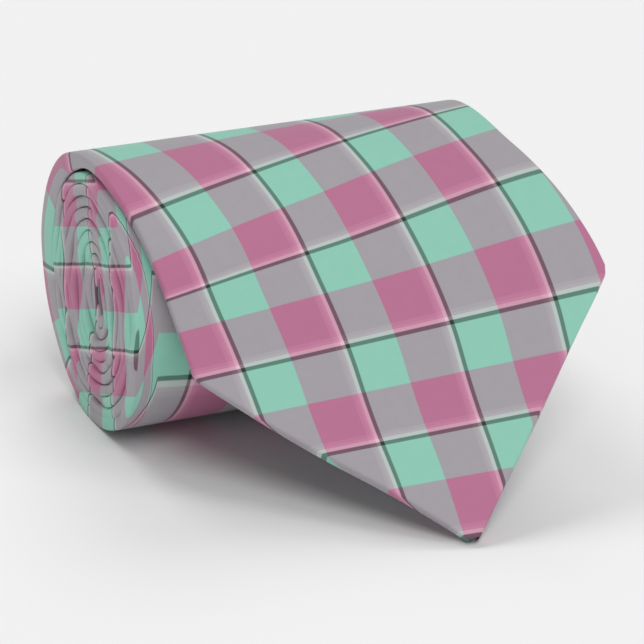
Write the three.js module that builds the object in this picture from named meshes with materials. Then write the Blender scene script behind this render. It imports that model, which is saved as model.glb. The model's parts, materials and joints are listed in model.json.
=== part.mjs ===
// A pointed printed necktie, rolled up from its narrow end so that the wide
// blade lies outermost, comes over the top of the roll and slopes to the floor.
//
// Units are millimetres. X runs along the roll's axis, the free blade points to
// -Y and +Z is up. The origin is the centre of the bounding box's footprint,
// with the floor at z = 0.
//
// Two lengths place everything. "along" is the distance along the cloth from
// the top line of the roll: positive down the free blade, negative back into
// the roll. "depth" is the distance below the cloth's outer (front) face.

import * as THREE from "three";

// ---- the tie, laid flat -----------------------------------------------------
const tieLength = 1394;
const bladeWidth = 101.6;
const neckWidth = 38;
const tailWidth = 46;
const bladePoint = 58.5;       // length of the pointed part of the blade
const tailPoint = 26;
const taperStart = 140;        // from the blade's point: where the narrowing begins
const neckStart = 830;         // where the narrowing ends
const neckEnd = 1050;          // where the tail begins to widen
const bladePieceLength = 762;  // the blade piece's cut length, to the first seam
const neckPieceLength = 300;

// ---- cloth thicknesses and clearances ---------------------------------------
const shellCloth = 0.3;
const interliningCloth = 0.9;
const tippingCloth = 0.25;
const clear = 0.3;             // between two layers
const tuckClear = 0.25;        // between the two overlapping back panels
const hem = 9;                 // width turned in along the point's edges
const seamOverlap = 6;         // the right back panel laps the left one
const seamStep = 2;            // length over which the lapping panel rises
const bladeOpening = 100;      // from the blade's point to where the panels part
const tailOpening = 60;
const dropRun = 12;            // length over which the back drops for the tipping
const dropBeforeOpening = 6.5; // the drop ends this far before the opening
const pointBlunt = 2.4;        // width left at the very end of a folded point

// ---- the roll ---------------------------------------------------------------
const coreRadius = 3.25;       // of the outer face where the narrow end stops
const turnGap = 0.34;
const rollTaper = 0.025;       // the roll is this share slimmer at its right end
const looseOuterTurn = 0.9;    // slack of the outermost turn, room for the keeper
const facetsPerTurn = 24;

// ---- the free blade ---------------------------------------------------------
const sewnLength = 22.5;       // the back seam runs on this far past the top line
const freeLength = bladeOpening + sewnLength; // from the top line to the point
const hingeGap = 0.3;
const leaveArc = 12;           // the blade still lies on the roll this far
const bendLengths = [32, 32, 20, 30];
const leftBends = [45, -26, -12, 15];
const rightBends = [-5, 30, -12, 15];
const sideDrift = 10.3;        // the blade wanders to the right as it comes down
const driftFrom = -12;
const driftTo = 74;
const floorClear = 0.3;        // under the blade's point
const flapStep = 6;
const flapColumns = 8;         // facets across the free blade
const panelColumns = 3;        // facets across each of its back panels

// ---- small pieces -----------------------------------------------------------
const keeperFromPoint = 205;
const keeperLength = 11;
const keeperSpan = 60;
const keeperCloth = 0.3;
const keeperTackWidth = 1.2;
const labelFromPoint = 232;
const labelLength = 16;
const labelWidth = 30;
const labelFromLap = 5.5;
const labelCloth = 0.2;
const threadWidth = 0.6;
const tackLength = 1.4;
const tackWidth = 7;
const tackThread = 0.3;

// ---- colours ----------------------------------------------------------------
const printedCloth = 0xa3a1a3;  // pink, mint and grey plaid, seen from afar
const interliningWool = 0xefece2;
const tippingSatin = 0x8b7f8c;
const sewingThread = 0x9c8fa3;
const labelSatin = 0xf2f0ec;

// ---- depths that follow from them -------------------------------------------
const liningDepth = shellCloth + clear;
const backInner = liningDepth + interliningCloth + clear;
const backOuter = backInner + shellCloth;
const lapOuter = backOuter + tuckClear + shellCloth;
const tippingStack = tippingCloth + clear;
const turnPitch = lapOuter + turnGap;
const outerPitch = turnPitch + looseOuterTurn;

const smooth = (a, b, t) => THREE.MathUtils.smoothstep(t, a, b);
const lerp = THREE.MathUtils.lerp;
const turn = 2 * Math.PI;

// ---- widths along the tie; fromPoint is measured from the blade's point ------
function fullWidth(fromPoint) {
  if (fromPoint < taperStart) return bladeWidth;
  if (fromPoint < neckStart) {
    const t = (fromPoint - taperStart) / (neckStart - taperStart);
    return lerp(bladeWidth, neckWidth, t);
  }
  if (fromPoint < neckEnd) return neckWidth;
  const tailCorner = tieLength - tailPoint;
  const t = Math.min(1, (fromPoint - neckEnd) / (tailCorner - neckEnd));
  return lerp(neckWidth, tailWidth, t);
}

// The left and right edges of the cloth, points included.
function edges(fromPoint) {
  const width = fullWidth(fromPoint);
  const share = Math.min(1, fromPoint / bladePoint, (tieLength - fromPoint) / tailPoint);
  const half = Math.max(width * share, pointBlunt) / 2;
  return [width / 2 - half, width / 2 + half];
}

// ---- the roll's spiral ------------------------------------------------------
// The length of a spiral that starts at an outer radius and ends at coreRadius.
function spiralLength(outside) {
  const afterFirst = outside - outerPitch;
  const firstTurn = Math.PI * (outside ** 2 - afterFirst ** 2) / outerPitch;
  const furtherTurns = Math.PI * (afterFirst ** 2 - coreRadius ** 2) / turnPitch;
  return firstTurn + furtherTurns;
}

// The roll is as big as the rolled length needs.
const rollRadius = (() => {
  let small = coreRadius + outerPitch;
  let large = small + tieLength;
  for (let i = 0; i < 60; i++) {
    const middle = (small + large) / 2;
    if (spiralLength(middle) < tieLength - freeLength) small = middle;
    else large = middle;
  }
  return small;
})();

function spiralRadius(angle) {
  const first = Math.min(angle, turn);
  const rest = Math.max(angle - turn, 0);
  return rollRadius - (outerPitch * first + turnPitch * rest) / turn;
}

const facetAngle = turn / facetsPerTurn;

// The phase that makes the lowest facet of the outer turn exactly level.
const lowRadiusA = spiralRadius(Math.PI - facetAngle / 2);
const lowRadiusB = spiralRadius(Math.PI + facetAngle / 2);
const radiusRatio = (lowRadiusA - lowRadiusB) / (lowRadiusA + lowRadiusB);
const restPhase = -Math.atan(radiusRatio / Math.tan(facetAngle / 2));

// Angle against length along the spiral, by small steps.
const spiralTable = (() => {
  const step = 0.002;
  const rows = [[0, 0]];
  let angle = 0;
  let length = 0;
  while (length < tieLength - freeLength + 5) {
    const radius = spiralRadius(angle + step / 2);
    angle += step;
    length += Math.hypot(radius * step, spiralRadius(angle) - spiralRadius(angle - step));
    rows.push([length, angle]);
  }
  return rows;
})();

function lookUp(rows, key, from, to) {
  let low = 0;
  let high = rows.length - 1;
  while (high - low > 1) {
    const middle = (low + high) >> 1;
    if (rows[middle][from] <= key) low = middle;
    else high = middle;
  }
  const t = (key - rows[low][from]) / (rows[high][from] - rows[low][from]);
  return lerp(rows[low][to], rows[high][to], t);
}

const lowRadius = spiralRadius(Math.PI - facetAngle / 2 + restPhase);
const axisHeight = lowRadius * Math.cos(facetAngle / 2 - restPhase);

// The roll slims evenly towards its right end, with its lowest line kept level.
const slim = (x) => 1 - rollTaper * x / bladeWidth;

// ---- the free blade's two side profiles -------------------------------------
// Each starts level at the roll's top line and bends down by the given degrees.
// settle is added to the second bend of both sides.
function sideProfile(bends, settle, scale) {
  const step = 0.5;
  const top = (axisHeight + rollRadius) * scale;
  const rows = [[0, 0, top, 0]];
  let tilt = 0;
  let y = 0;
  let z = top;
  for (let s = 0; s < freeLength + 4; s += step) {
    const middle = s + step / 2;
    let rate = 1 / (rollRadius * scale);
    let start = leaveArc;
    let previous = rate;
    bendLengths.forEach((length, i) => {
      const degrees = bends[i] + (i === 1 ? settle : 0);
      const next = THREE.MathUtils.degToRad(degrees) / length;
      rate += (next - previous) * smooth(start - 4, start + 4, middle);
      previous = next;
      start += length;
    });
    tilt += rate * step;
    y -= Math.cos(tilt - rate * step / 2) * step;
    z -= Math.sin(tilt - rate * step / 2) * step;
    rows.push([s + step, y, z, tilt]);
  }
  return rows;
}

let leftProfile;
let rightProfile;
function bendBlade(settle) {
  leftProfile = sideProfile(leftBends, settle, 1);
  rightProfile = sideProfile(rightBends, settle, slim(bladeWidth));
}

const drift = (along) => sideDrift * smooth(driftFrom, driftTo, along);

// ---- stations: where the cloth has a cross fold line ------------------------
// Each gives the outer face's point and its outward normal for an x on the cloth.
function rollStation(angle, along) {
  const radius = spiralRadius(angle);
  const normal = { y: Math.sin(angle), z: Math.cos(angle) };
  const shift = drift(along);
  return {
    along,
    at: (x, depth) => new THREE.Vector3(
      x + shift,
      (radius - depth) * normal.y * slim(x),
      (axisHeight + (radius - depth) * normal.z) * slim(x),
    ),
  };
}

function flapSurface(x, along) {
  const share = x / bladeWidth;
  const yz = [1, 2].map((i) => lerp(
    lookUp(leftProfile, along, 0, i),
    lookUp(rightProfile, along, 0, i),
    share,
  ));
  return new THREE.Vector3(x + drift(along), yz[0], yz[1]);
}

function flapStation(along) {
  return {
    along,
    at: (x, depth) => {
      const e = 0.5;
      const across = flapSurface(x + e, along).sub(flapSurface(x - e, along));
      const low = Math.max(along - e, 0);
      const down = flapSurface(x, along + e).sub(flapSurface(x, low));
      const normal = down.cross(across).normalize();
      if (normal.z < 0) normal.negate();
      return flapSurface(x, along).addScaledVector(normal, -depth);
    },
  };
}

// The bend at which the point's underside just rests on the floor.
let stiff = -40;
let limp = 40;
for (let i = 0; i < 30; i++) {
  const settle = (stiff + limp) / 2;
  bendBlade(settle);
  const underside = flapStation(freeLength).at(bladeWidth / 2, backOuter + tippingStack);
  if (underside.z > floorClear) stiff = settle;
  else limp = settle;
}

const bladeKeys = [bladeOpening, bladeOpening - 2, bladeOpening - 5, bladePoint + 4, bladePoint, hem];
const stations = [];
{
  const rollLength = tieLength - freeLength;
  const angles = [0];
  for (let i = 0; ; i++) {
    const angle = restPhase + facetAngle * (i + 0.5);
    const along = angle > 0 ? lookUp(spiralTable, angle, 1, 0) : 0;
    if (along > rollLength + 3) break;
    if (angle > facetAngle / 3) angles.push(angle);
  }
  angles.reverse();
  for (const angle of angles) {
    stations.push(rollStation(angle, angle > 0 ? -lookUp(spiralTable, angle, 1, 0) : 0));
  }
  const keys = bladeKeys.map((fromPoint) => freeLength - fromPoint);
  const marks = [...keys, freeLength];
  for (let s = flapStep; s < freeLength - 1; s += flapStep) {
    if (marks.every((mark) => Math.abs(mark - s) > 2.2)) marks.push(s);
  }
  marks.sort((a, b) => a - b);
  for (const mark of marks) stations.push(flapStation(mark));
}

// A point of the cloth's stack at any length, on the straight run between stations.
function place(x, depth, along) {
  let i = 1;
  while (i < stations.length - 1 && stations[i].along < along) i++;
  const a = stations[i - 1];
  const b = stations[i];
  const t = THREE.MathUtils.clamp((along - a.along) / (b.along - a.along), 0, 1);
  return a.at(x, depth).lerp(b.at(x, depth), t);
}

// All station lengths from one end of a piece to the other, with extra marks.
function runs(from, to, extra = []) {
  const inside = [...stations.map((station) => station.along), ...extra]
    .filter((s) => s > from + 0.05 && s < to - 0.05)
    .sort((a, b) => a - b)
    .filter((s, i, all) => i === 0 || s - all[i - 1] > 0.02);
  return [from, ...inside, to];
}

// ---- one closed body from a run of equal outlines ---------------------------
// outline(along) gives [x, depth] pairs, the same count at every length.
function loft(name, colour, lengths, outline) {
  const flat = lengths.map(outline);
  const count = flat[0].length;
  const positions = [];
  flat.forEach((points, k) => {
    for (const [x, depth] of points) {
      positions.push(...place(x, depth, lengths[k]).toArray());
    }
  });
  const index = [];
  for (let k = 0; k < flat.length - 1; k++) {
    for (let j = 0; j < count; j++) {
      const a = k * count + j;
      const b = k * count + (j + 1) % count;
      // Every quad is cut the same way across the cloth, whichever way it faces.
      if (flat[k][(j + 1) % count][0] >= flat[k][j][0]) {
        index.push(a, b, b + count, a, b + count, a + count);
      } else {
        index.push(a, b, a + count, b, b + count, a + count);
      }
    }
  }
  const signedArea = (a, b, c) => (b.x - a.x) * (c.y - a.y) - (c.x - a.x) * (b.y - a.y);
  const cap = (points, start, forward) => {
    const shape = points.map(([x, depth]) => new THREE.Vector2(x, depth));
    const order = THREE.ShapeUtils.isClockWise(shape) ? -1 : 1;
    for (const [a, b, c] of THREE.ShapeUtils.triangulateShape([...shape], [])) {
      const same = signedArea(shape[a], shape[b], shape[c]) * order > 0;
      const triangle = same === forward ? [a, b, c] : [a, c, b];
      index.push(...triangle.map((v) => v + start));
    }
  };
  cap(flat[0], 0, false);
  cap(flat[flat.length - 1], (flat.length - 1) * count, true);
  let volume = 0;
  const corner = (i) => new THREE.Vector3().fromArray(positions, i * 3);
  for (let i = 0; i < index.length; i += 3) {
    const cross = corner(index[i + 1]).cross(corner(index[i + 2]));
    volume += corner(index[i]).dot(cross);
  }
  if (volume < 0) {
    for (let i = 0; i < index.length; i += 3) {
      [index[i + 1], index[i + 2]] = [index[i + 2], index[i + 1]];
    }
  }
  const geometry = new THREE.BufferGeometry();
  geometry.setAttribute("position", new THREE.Float32BufferAttribute(positions, 3));
  geometry.setIndex(index);
  geometry.computeVertexNormals();
  const material = new THREE.MeshStandardMaterial({ color: colour, roughness: 0.8 });
  const mesh = new THREE.Mesh(geometry, material);
  mesh.name = name;
  return mesh;
}

// ---- how far the back panels have parted at a length ------------------------
// Negative is the lap of one over the other, positive half the width left open.
function parting(fromPoint) {
  const ends = [
    [fromPoint, bladeOpening, bladePoint],
    [tieLength - fromPoint, tailOpening, tailPoint],
  ];
  const [distance, opening, point] = ends[fromPoint < tieLength / 2 ? 0 : 1];
  const [left, right] = edges(fromPoint);
  const most = Math.max((right - left) / 2 - hem, 0.3);
  const lap = -seamOverlap / 2;
  if (distance >= opening) return [lap, 1];
  if (distance >= opening - 2) {
    return [lerp(0.5, lap, (distance - opening + 2) / 2), 1];
  }
  const lift = THREE.MathUtils.clamp((distance - opening + 5) / 3, 0, 1);
  const t = (opening - 2 - distance) / (opening - 6 - point);
  return [Math.min(lerp(0.5, fullWidth(fromPoint) / 2 - hem, t), most), lift];
}

// The free blade's back lies deeper, to leave room for the tipping. The drop is
// over before the tipping starts.
const dropTo = freeLength - bladeOpening - dropBeforeOpening;
const backDrop = (along) => tippingStack * smooth(dropTo - dropRun, dropTo, along);

// The points of a straight stretch of outline, its first end left out.
function stretch([x0, depth0], [x1, depth1], columns) {
  const points = [];
  for (let i = 1; i <= columns; i++) {
    points.push([lerp(x0, x1, i / columns), lerp(depth0, depth1, i / columns)]);
  }
  return points;
}

// The shell's outline: front, two folded edges and two back panels.
const shellOutline = (columns, backColumns) => (along) => {
  const fromPoint = freeLength - along;
  const [left, right] = edges(fromPoint);
  const [open, lift] = parting(fromPoint);
  const middle = (left + right) / 2;
  const inner = backInner + backDrop(along);
  const outer = backOuter + backDrop(along);
  const raised = (tuckClear + shellCloth) * lift;
  const leftInner = left + shellCloth;
  const rightInner = right - shellCloth;
  const leftEnd = Math.max(middle - open, leftInner + 0.02);
  const rightEnd = Math.min(middle + open, rightInner - 0.02);
  const stepFrom = Math.min(Math.max(leftEnd + 0.5, rightEnd + 0.004), rightInner - 0.016);
  const stepTo = Math.min(stepFrom + seamStep, rightInner - 0.012);
  return [
    [left, 0],
    ...stretch([left, 0], [right, 0], columns),
    [right, outer],
    ...stretch([right, outer], [stepTo, outer], backColumns),
    [stepFrom, outer + raised],
    [rightEnd, outer + raised],
    [rightEnd, inner + raised],
    [stepFrom + 0.003, inner + raised],
    [stepTo + 0.003, inner],
    ...stretch([stepTo + 0.003, inner], [rightInner, inner], backColumns),
    [rightInner, shellCloth],
    ...stretch([rightInner, shellCloth], [leftInner, shellCloth], columns),
    [leftInner, inner],
    ...stretch([leftInner, inner], [leftEnd, inner], backColumns),
    [leftEnd, outer],
    ...stretch([leftEnd, outer], [left, outer], backColumns),
  ];
};

// A plain band between two edges and two depths.
const band = (margin, top, thickness, columns = 1) => (along) => {
  const [left, right] = edges(freeLength - along);
  const upper = typeof top === "function" ? top(along) : top;
  const lower = upper + thickness;
  return [
    [left + margin, upper],
    ...stretch([left + margin, upper], [right - margin, upper], columns),
    [right - margin, lower],
    ...stretch([right - margin, lower], [left + margin, lower], columns),
  ];
};

// ---- pieces -----------------------------------------------------------------
const fromBlade = (distance) => freeLength - distance;
const hingeSide = hingeGap / 2;
const tailMarks = [tailOpening, tailOpening - 2, tailOpening - 5, tailPoint + 4, tailPoint]
  .map((distance) => fromBlade(tieLength - distance));
const widthMarks = [taperStart, neckStart, neckEnd].map(fromBlade);
const marks = [...tailMarks, ...widthMarks];
const firstSeam = fromBlade(bladePieceLength);
const secondSeam = fromBlade(bladePieceLength + neckPieceLength);
const tailEnd = fromBlade(tieLength);
const bladeEnd = fromBlade(0);
const inset = shellCloth + clear;

const pieces = [];
const add = (...mesh) => pieces.push(...mesh);
const freeShell = shellOutline(flapColumns, panelColumns);
const rolledShell = shellOutline(1, 1);

add(loft("blade_shell_free", printedCloth, runs(hingeSide, bladeEnd), freeShell));
add(loft("blade_shell_rolled", printedCloth, runs(firstSeam + clear / 2, -hingeSide, marks), rolledShell));
add(loft("neck_shell", printedCloth, runs(secondSeam + clear / 2, firstSeam - clear / 2, marks), rolledShell));
add(loft("tail_shell", printedCloth, runs(tailEnd, secondSeam - clear / 2, marks), rolledShell));

// The interlining fills the blade down to its point and stops above the tail's
// tipping, which lies in its place there.
const bladeLiningEnd = fromBlade(5);
const tailTippingTop = tieLength - tailOpening - 8;
const tailLiningEnd = fromBlade(tailTippingTop - clear);
const lining = (columns) => band(inset, liningDepth, interliningCloth, columns);
add(loft("interlining_free", interliningWool, runs(hingeSide, bladeLiningEnd), lining(flapColumns)));
add(loft("interlining_rolled", interliningWool, runs(tailLiningEnd, -hingeSide, marks), lining(1)));

// Tippings: thin lining cloth behind the open V of the back at each end.
const tippingTop = (along) => backInner - tippingStack + backDrop(along);
const bladeTipping = band(inset, tippingTop, tippingCloth, flapColumns);
const bladeTippingFrom = fromBlade(bladeOpening + 6);
add(loft("blade_tipping", tippingSatin, runs(bladeTippingFrom, fromBlade(5)), bladeTipping));
const tailTipping = band(inset, liningDepth + 0.2, tippingCloth);
const tailTippingTo = fromBlade(tailTippingTop);
add(loft("tail_tipping", tippingSatin, runs(fromBlade(tieLength - 4), tailTippingTo, marks), tailTipping));

// The slip stitch closes the back seam, beside the lapping panel's edge.
const stitch = (along) => {
  const [left, right] = edges(freeLength - along);
  const [open] = parting(freeLength - along);
  const x = (left + right) / 2 + open - clear;
  const top = backOuter + backDrop(along) + tuckClear + 0.05;
  return [
    [x - threadWidth, top + 0.22],
    [x - threadWidth / 2, top],
    [x, top + 0.22],
  ];
};
const bladeTackAt = fromBlade(bladeOpening + 4);
const tailTackAt = fromBlade(tieLength - tailOpening - 4);
add(loft("slip_stitch_free", sewingThread, runs(hingeSide, bladeTackAt - tackLength), stitch));
add(loft("slip_stitch_rolled", sewingThread, runs(tailTackAt + 2 * tackLength, -hingeSide, marks), stitch));

// A bar tack: a short bar of thread at the end of the back seam.
function barTack(name, at, leftEnd, depth) {
  const outline = () => [
    [leftEnd, depth],
    [leftEnd + tackWidth, depth],
    [leftEnd + tackWidth, depth + tackThread],
    [leftEnd, depth + tackThread],
  ];
  return loft(name, sewingThread, runs(at, at + tackLength), outline);
}
const bladeTackDepth = lapOuter + backDrop(bladeTackAt) + clear;
add(barTack("blade_bar_tack", bladeTackAt, (bladeWidth - tackWidth) / 2, bladeTackDepth));

// Deep in the roll the tail's tack lies beside the lapping panel's edge.
const tailMiddle = fullWidth(tieLength - tailOpening) / 2;
const tailTackLeft = tailMiddle - seamOverlap / 2 - clear - tackWidth;
add(barTack("tail_bar_tack", tailTackAt, tailTackLeft, backOuter + tuckClear));

// The keeper: a strip of the shell cloth across the back that holds the tail,
// with a tack of thread at each end.
const keeperDepth = lapOuter + clear;
const keeperFrom = fromBlade(keeperFromPoint + keeperLength);
const keeperMiddle = fullWidth(keeperFromPoint) / 2;
const across = (from, to, depth, thickness) => () => [
  [from, depth],
  [to, depth],
  [to, depth + thickness],
  [from, depth + thickness],
];
const keeperLeft = keeperMiddle - keeperSpan / 2;
const keeperRight = keeperMiddle + keeperSpan / 2;
add(loft(
  "keeper_loop", printedCloth, runs(keeperFrom, keeperFrom + keeperLength),
  across(keeperLeft, keeperRight, keeperDepth, keeperCloth),
));
const tackDepth = backOuter + clear;
const keeperTack = (name, x) => loft(
  name, sewingThread, runs(keeperFrom + 1, keeperFrom + keeperLength - 1),
  across(x, x + keeperTackWidth, tackDepth, keeperDepth + keeperCloth - tackDepth),
);
add(keeperTack("keeper_tack_left", keeperLeft - clear - keeperTackWidth));
add(keeperTack("keeper_tack_right", keeperRight + clear));

// A plain care label, flat against the left back panel.
const labelFrom = fromBlade(labelFromPoint + labelLength);
const lapEdge = (fullWidth(labelFromPoint) - seamOverlap) / 2;
const labelLeft = lapEdge - labelFromLap - labelWidth;
add(loft(
  "care_label", labelSatin, runs(labelFrom, labelFrom + labelLength),
  across(labelLeft, labelLeft + labelWidth, backOuter + clear, labelCloth),
));

// ---- centre the footprint on the origin -------------------------------------
const group = new THREE.Group();
group.name = "rolled_necktie";
for (const piece of pieces) group.add(piece);
group.updateMatrixWorld(true);
const box = new THREE.Box3().setFromObject(group);
const centre = box.getCenter(new THREE.Vector3());
for (const piece of pieces) {
  piece.geometry.translate(-centre.x, -centre.y, -box.min.z);
  piece.geometry.computeBoundingBox();
}

export default group;
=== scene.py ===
import json
import math

import bpy
import numpy as np
from mathutils import Vector

# A rolled necktie with its free blade sloping to the floor. Lengths in the cloth
# functions are millimetres on the tie; MM turns them into the frame's metres.
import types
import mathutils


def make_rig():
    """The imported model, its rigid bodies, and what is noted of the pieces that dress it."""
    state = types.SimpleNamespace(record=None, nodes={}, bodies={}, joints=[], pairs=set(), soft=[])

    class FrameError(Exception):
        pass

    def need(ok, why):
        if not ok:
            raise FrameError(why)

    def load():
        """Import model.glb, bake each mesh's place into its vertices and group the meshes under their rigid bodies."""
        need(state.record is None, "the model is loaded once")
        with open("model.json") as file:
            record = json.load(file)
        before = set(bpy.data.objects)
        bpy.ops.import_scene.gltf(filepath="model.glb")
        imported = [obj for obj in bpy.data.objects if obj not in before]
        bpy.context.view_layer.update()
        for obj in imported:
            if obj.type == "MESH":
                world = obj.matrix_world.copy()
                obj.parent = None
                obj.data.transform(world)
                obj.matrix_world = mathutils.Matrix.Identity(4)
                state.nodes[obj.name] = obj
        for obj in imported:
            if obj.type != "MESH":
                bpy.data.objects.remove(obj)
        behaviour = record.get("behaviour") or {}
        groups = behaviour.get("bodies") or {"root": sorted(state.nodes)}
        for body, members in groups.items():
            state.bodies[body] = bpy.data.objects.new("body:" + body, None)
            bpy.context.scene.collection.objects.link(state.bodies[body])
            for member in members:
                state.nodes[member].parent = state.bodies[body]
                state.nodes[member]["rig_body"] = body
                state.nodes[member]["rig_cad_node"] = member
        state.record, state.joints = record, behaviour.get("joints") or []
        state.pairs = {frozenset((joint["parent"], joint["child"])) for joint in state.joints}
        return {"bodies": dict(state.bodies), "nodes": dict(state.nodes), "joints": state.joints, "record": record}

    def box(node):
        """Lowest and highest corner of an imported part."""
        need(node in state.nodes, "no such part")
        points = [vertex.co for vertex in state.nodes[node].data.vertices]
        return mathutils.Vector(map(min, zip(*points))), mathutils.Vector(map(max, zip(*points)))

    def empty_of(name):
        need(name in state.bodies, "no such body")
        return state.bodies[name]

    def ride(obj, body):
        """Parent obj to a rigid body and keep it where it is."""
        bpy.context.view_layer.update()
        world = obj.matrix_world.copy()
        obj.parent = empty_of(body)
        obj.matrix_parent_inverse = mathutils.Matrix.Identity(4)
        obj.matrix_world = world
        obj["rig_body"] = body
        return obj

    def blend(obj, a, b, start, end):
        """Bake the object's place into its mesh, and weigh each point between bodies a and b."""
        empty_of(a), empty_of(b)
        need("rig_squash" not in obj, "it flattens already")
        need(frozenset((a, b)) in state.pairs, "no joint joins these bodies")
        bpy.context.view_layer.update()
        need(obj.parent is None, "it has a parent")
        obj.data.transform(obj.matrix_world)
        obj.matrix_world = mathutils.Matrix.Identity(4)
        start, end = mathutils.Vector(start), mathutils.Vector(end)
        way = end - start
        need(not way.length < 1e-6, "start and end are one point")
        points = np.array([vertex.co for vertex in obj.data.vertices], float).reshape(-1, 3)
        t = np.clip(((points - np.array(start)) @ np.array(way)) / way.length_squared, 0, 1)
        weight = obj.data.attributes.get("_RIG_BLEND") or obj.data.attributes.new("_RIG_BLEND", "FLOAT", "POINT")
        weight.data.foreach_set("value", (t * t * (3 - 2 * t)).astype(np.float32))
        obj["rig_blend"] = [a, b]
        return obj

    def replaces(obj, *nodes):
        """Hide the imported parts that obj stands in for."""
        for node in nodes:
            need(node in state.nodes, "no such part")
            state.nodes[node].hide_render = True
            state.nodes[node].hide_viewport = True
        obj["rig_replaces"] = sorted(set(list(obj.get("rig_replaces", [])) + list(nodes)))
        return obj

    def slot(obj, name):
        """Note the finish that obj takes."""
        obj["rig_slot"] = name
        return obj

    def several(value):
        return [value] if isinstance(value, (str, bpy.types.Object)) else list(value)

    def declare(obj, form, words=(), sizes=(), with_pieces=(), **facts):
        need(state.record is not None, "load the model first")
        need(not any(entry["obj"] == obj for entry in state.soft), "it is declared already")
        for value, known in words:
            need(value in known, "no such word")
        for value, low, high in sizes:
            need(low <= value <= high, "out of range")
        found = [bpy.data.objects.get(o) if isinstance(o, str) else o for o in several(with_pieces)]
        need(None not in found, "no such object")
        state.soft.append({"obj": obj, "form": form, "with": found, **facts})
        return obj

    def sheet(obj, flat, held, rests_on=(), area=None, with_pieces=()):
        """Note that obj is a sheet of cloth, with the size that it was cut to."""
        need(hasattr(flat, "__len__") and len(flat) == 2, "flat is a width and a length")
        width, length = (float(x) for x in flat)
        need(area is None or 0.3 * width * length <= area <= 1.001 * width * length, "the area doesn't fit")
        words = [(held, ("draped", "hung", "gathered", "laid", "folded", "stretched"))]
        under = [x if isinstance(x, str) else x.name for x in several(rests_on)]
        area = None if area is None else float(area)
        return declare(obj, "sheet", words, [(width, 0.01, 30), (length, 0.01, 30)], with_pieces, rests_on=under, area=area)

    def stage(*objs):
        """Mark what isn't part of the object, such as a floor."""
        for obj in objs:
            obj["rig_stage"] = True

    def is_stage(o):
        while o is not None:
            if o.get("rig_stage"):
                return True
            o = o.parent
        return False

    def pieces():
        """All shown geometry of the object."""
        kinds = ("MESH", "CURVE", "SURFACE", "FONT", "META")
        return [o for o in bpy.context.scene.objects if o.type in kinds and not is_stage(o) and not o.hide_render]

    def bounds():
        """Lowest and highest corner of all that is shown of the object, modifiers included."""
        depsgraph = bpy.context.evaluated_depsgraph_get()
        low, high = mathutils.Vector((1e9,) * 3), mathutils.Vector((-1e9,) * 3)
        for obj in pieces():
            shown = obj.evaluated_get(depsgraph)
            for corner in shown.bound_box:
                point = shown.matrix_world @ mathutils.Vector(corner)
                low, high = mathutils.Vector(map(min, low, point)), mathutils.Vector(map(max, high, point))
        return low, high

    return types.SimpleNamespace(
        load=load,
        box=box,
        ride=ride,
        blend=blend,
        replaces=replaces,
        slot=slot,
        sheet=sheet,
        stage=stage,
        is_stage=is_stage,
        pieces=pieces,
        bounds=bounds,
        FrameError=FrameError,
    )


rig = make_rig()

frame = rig.load()
cad_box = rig.bounds()

MM = 0.001
TURN = 2 * math.pi

# ---- the tie laid flat, the same values as the CAD part ----------------------
TIE_LENGTH = 1394.0
BLADE_WIDTH = 101.6
NECK_WIDTH = 38.0
TAIL_WIDTH = 46.0
BLADE_POINT = 58.5
TAIL_POINT = 26.0
TAPER_START = 140.0
NECK_START = 830.0
NECK_END = 1050.0
BLADE_PIECE = 762.0
NECK_PIECE = 300.0
SHELL = 0.3           # thickness of the printed cloth
INTERLINING = 0.9
TIPPING = 0.25
CLEAR = 0.3
TUCK_CLEAR = 0.25
HEM = 9.0
SEAM_OVERLAP = 6.0
SEAM_STEP = 2.0
BLADE_OPENING = 100.0
TAIL_OPENING = 60.0
POINT_BLUNT = 3.0
PIECE_GAP = 0.15

# ---- the roll and the free blade ---------------------------------------------
ROLL_RADIUS = 35.8
AXIS_HEIGHT = 33.57
CORE_END = 2.0         # the spiral's radius is followed down to this
MOST_TURNED = 70.0     # more than the spiral's whole angle, in radians
TURN_PITCH = 2.99
OUTER_PITCH = 3.89
ROLL_TAPER = 0.025
FREE_LENGTH = 122.5
LEAVE_ARC = 12.0
BEND_LENGTHS = (32.0, 32.0, 20.0, 30.0)
LEFT_BENDS = (45.0, -26.0, -12.0, 15.0)
RIGHT_BENDS = (-5.0, 30.0, -12.0, 15.0)
SIDE_DRIFT = 10.3
DRIFT_FROM = -12.0
DRIFT_TO = 74.0
FLOOR_CLEAR = 0.3

LINING_DEPTH = SHELL + CLEAR
BACK_INNER = LINING_DEPTH + INTERLINING + CLEAR
BACK_OUTER = BACK_INNER + SHELL
TIPPING_STACK = TIPPING + CLEAR

# ---- how the cloth piece is made -----------------------------------------------
EDGE_PUFF = 0.5        # the free blade's folded edges are this much fuller
EDGE_GAP = 0.16        # between the folded edges of two turns
FOLD_ROUND = 1.0       # how far a folded edge rounds out sideways
COIL_SHRINK = 0.07     # the inner turns are pressed together from behind
COIL_FORWARD = 2.0     # and lie a little towards the front
BACK_FULL = 0.8        # the outer turn stands this much fuller behind
RIGHT_LIFT = 3.4       # the free blade's right side leaves the roll in a low arch
ARCH_START = 1.0       # where that arch begins, down the blade
ARCH_LENGTH = 66.0
ARCH_SHARE = 0.4       # the share of the width, from the left, that it leaves flat
PROFILE_STEP = 0.5
SETTLE_MOST = 40.0     # degrees of extra bend tried when the point is laid down
SETTLE_HALVINGS = 40
WAVE_COUNT = 7
WAVE_LENGTHS = (17, 70)
WAVE_GAIN = 1.6
OUTER_WANDER = 0.12    # how far the folded edges wander on the outer turn
INNER_WANDER = 0.6     # and how much more further in
INNER_RUN = (-90, -150)
COIL_RUN = (-150, -215)
LEFT_REACH = 7.0       # how far from an edge its wandering is felt
RIGHT_REACH = 9.0
RIGHT_WAVE = 400       # the right edge wanders differently from the left
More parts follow.
